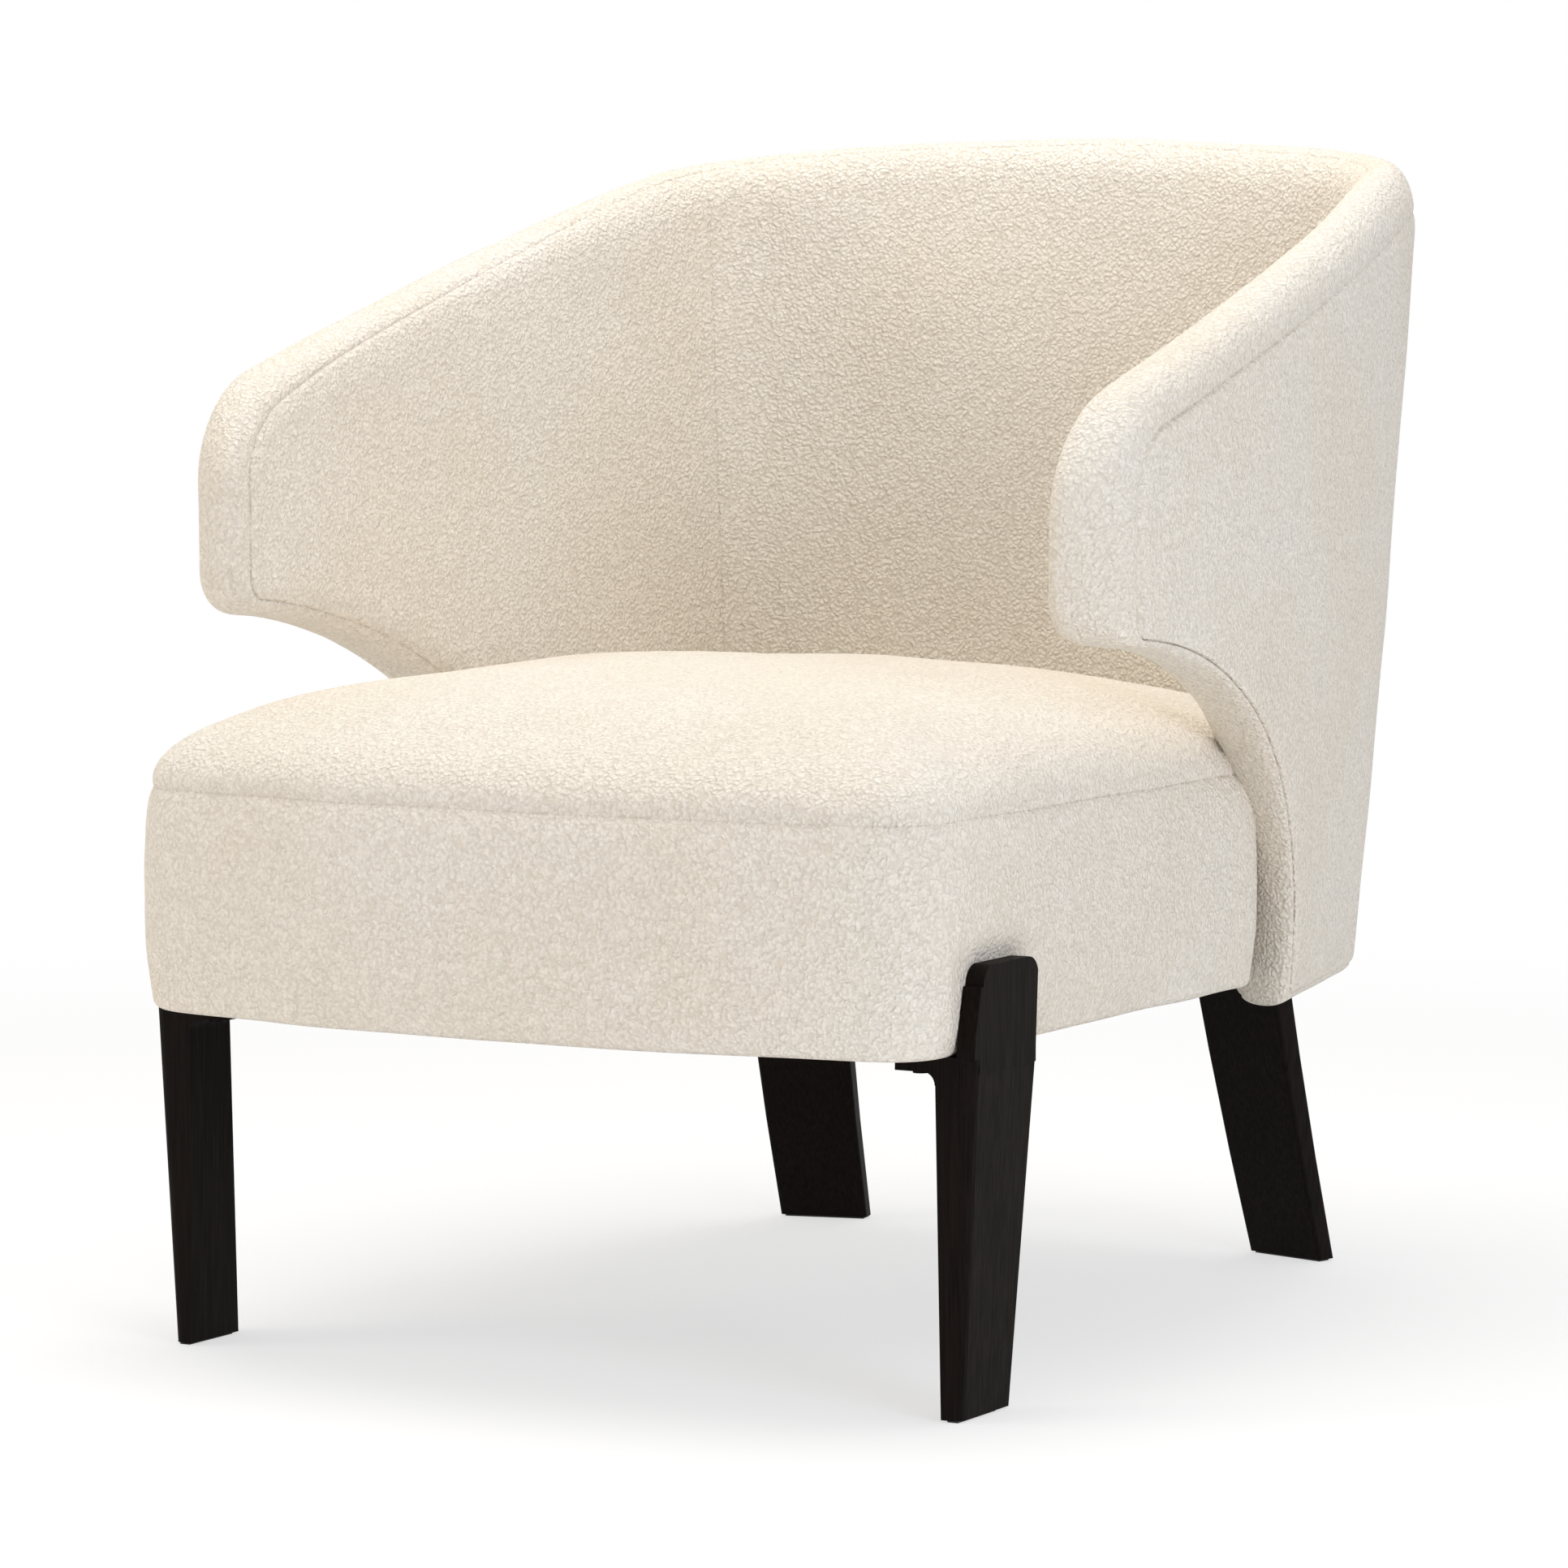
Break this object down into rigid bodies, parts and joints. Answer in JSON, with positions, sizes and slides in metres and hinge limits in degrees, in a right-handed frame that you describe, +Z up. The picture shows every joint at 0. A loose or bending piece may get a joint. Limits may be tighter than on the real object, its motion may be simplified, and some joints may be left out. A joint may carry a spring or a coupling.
{
  "type": "armchair",
  "caption": "Low barrel-back lounge armchair in cream looped fabric: a padded shell of back and arms wraps a crowned seat on dark stained wooden legs.",
  "frame": {"origin": "on the floor, under the middle of the chair's outline", "axes": "+Z is up, the chair faces -Y, and +X is the sitter's left"},
  "size_m": [0.7094, 0.8436, 0.7988],
  "materials": {
    "stained_wood": "near-black stained hardwood, satin lacquer",
    "glide_plastic": "moulded nylon, matte",
    "plated_steel": "zinc plated",
    "frame_plywood": "raw birch plywood",
    "frame_timber": "raw beech",
    "webbing": "woven elastic webbing",
    "felt": "needled felt",
    "foam": "open-cell polyurethane foam",
    "wadding": "bonded polyester fibre",
    "boucle": "cream looped boucle, matt",
    "dust_cloth": "black non-woven"
  },
  "bodies": {
    "root": {"front_leg_left": "stained_wood", "front_leg_right": "stained_wood", "rear_leg_left": "stained_wood", "rear_leg_right": "stained_wood", "foot_glides": "glide_plastic", "front_leg_screws": "plated_steel", "rear_leg_bolts": "plated_steel", "rear_leg_inserts": "plated_steel", "back_bolts": "plated_steel", "back_inserts": "plated_steel", "seat_base_ring": "frame_plywood", "seat_front_rail": "frame_timber", "seat_back_rail": "frame_timber", "seat_side_rail_left": "frame_timber", "seat_side_rail_right": "frame_timber", "corner_blocks_front": "frame_timber", "corner_blocks_back": "frame_timber", "straps_lengthwise": "webbing", "straps_crosswise": "webbing", "deck_felt": "felt", "seat_foam": "foam", "seat_side_padding": "wadding", "seat_cover_top": "boucle", "seat_cover_border": "boucle", "seat_cover_turn_under": "boucle", "dust_cloth": "dust_cloth", "shell_plywood": "frame_plywood", "shell_inner_foam": "foam", "shell_outer_padding": "foam", "shell_edge_roll": "foam", "cover_inside_back": "boucle", "cover_inside_arm_left": "boucle", "cover_inside_arm_right": "boucle", "cover_outside": "boucle", "cover_border_band": "boucle"}
  },
  "joints": []
}
